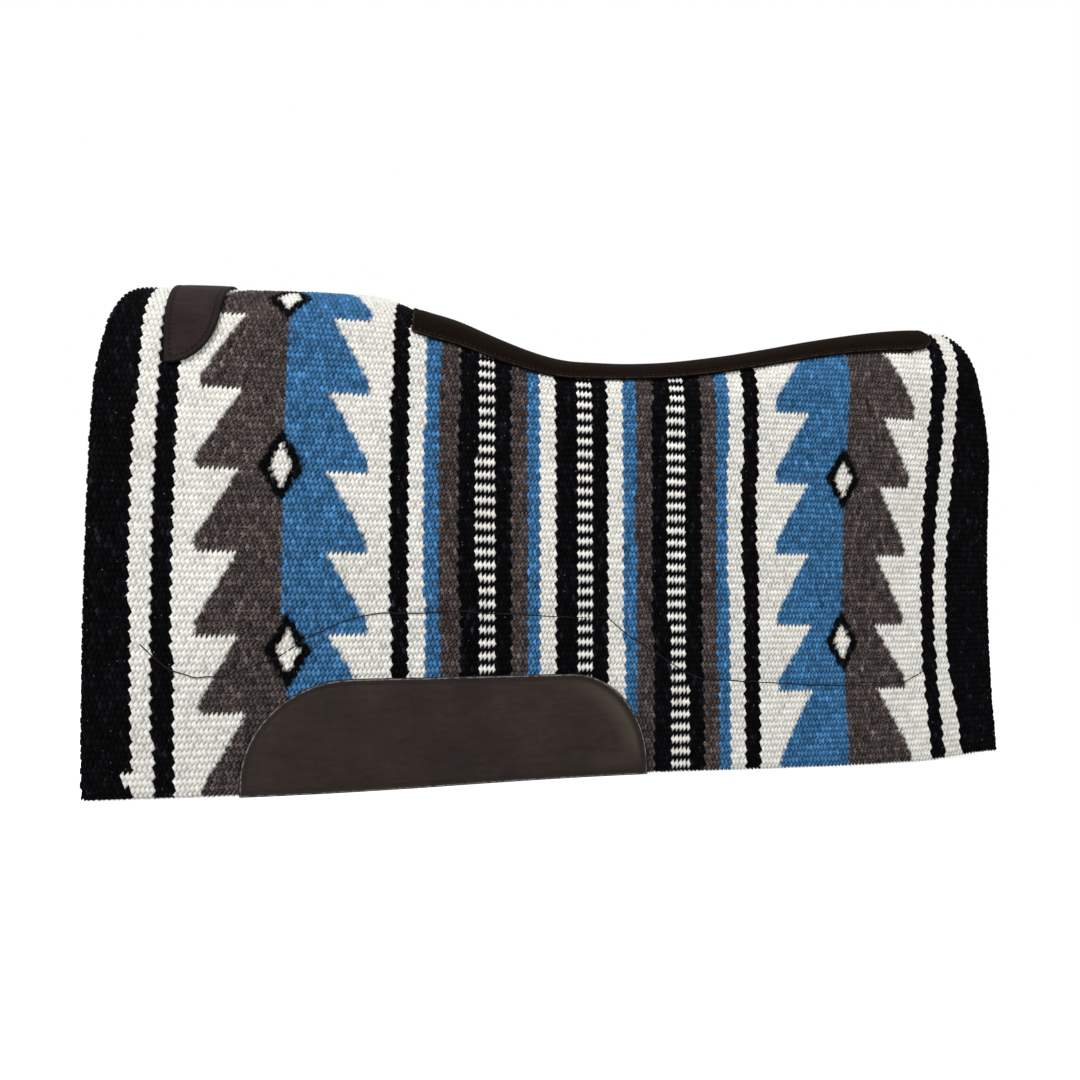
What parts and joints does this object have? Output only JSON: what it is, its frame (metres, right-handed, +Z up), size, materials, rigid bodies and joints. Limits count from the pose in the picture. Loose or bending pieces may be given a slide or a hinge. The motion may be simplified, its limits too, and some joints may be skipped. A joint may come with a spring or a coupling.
{
  "type": "saddle pad",
  "caption": "Contoured saddle pad of patterned woven wool over felt and fleece, folded over the spine, with leather along the spine, at the withers and at the girth.",
  "frame": {"origin": "centre of the footprint at the hem, on the plane the pad stands on", "axes": "+X along the horse towards the tail, +Y towards the horse's right side, +Z up"},
  "size_m": [0.878, 0.201, 0.4746],
  "materials": {
    "woven_wool": "weft-faced woven wool in off-white, blue, grey-brown and black",
    "felt": "pressed grey felt",
    "fleece": "short cream fleece",
    "spine_leather": "very dark brown, soft sheen",
    "patch_leather": "dark brown, matt",
    "girth_leather": "dark brown, smooth, soft sheen",
    "webbing": "flat woven tape",
    "sewing_thread": "waxed thread",
    "quilting_thread": "soft black yarn"
  },
  "bodies": {
    "root": {"woven_blanket": "woven_wool", "felt_core_left": "felt", "felt_core_right": "felt", "lining_left": "fleece", "lining_right": "fleece", "spine_strip": "spine_leather", "seam_tape": "webbing", "wither_patch": "patch_leather", "wear_leather_left": "girth_leather", "wear_leather_right": "girth_leather", "spine_strip_stitches_left": "sewing_thread", "spine_strip_stitches_right": "sewing_thread", "wither_patch_stitches": "sewing_thread", "wear_leather_stitches_left": "sewing_thread", "wear_leather_stitches_right": "sewing_thread", "quilting_thread_left": "quilting_thread", "quilting_thread_right": "quilting_thread", "tape_stitches_left": "sewing_thread", "tape_stitches_right": "sewing_thread", "underside_stitches_left": "sewing_thread", "underside_stitches_right": "sewing_thread"}
  },
  "joints": []
}
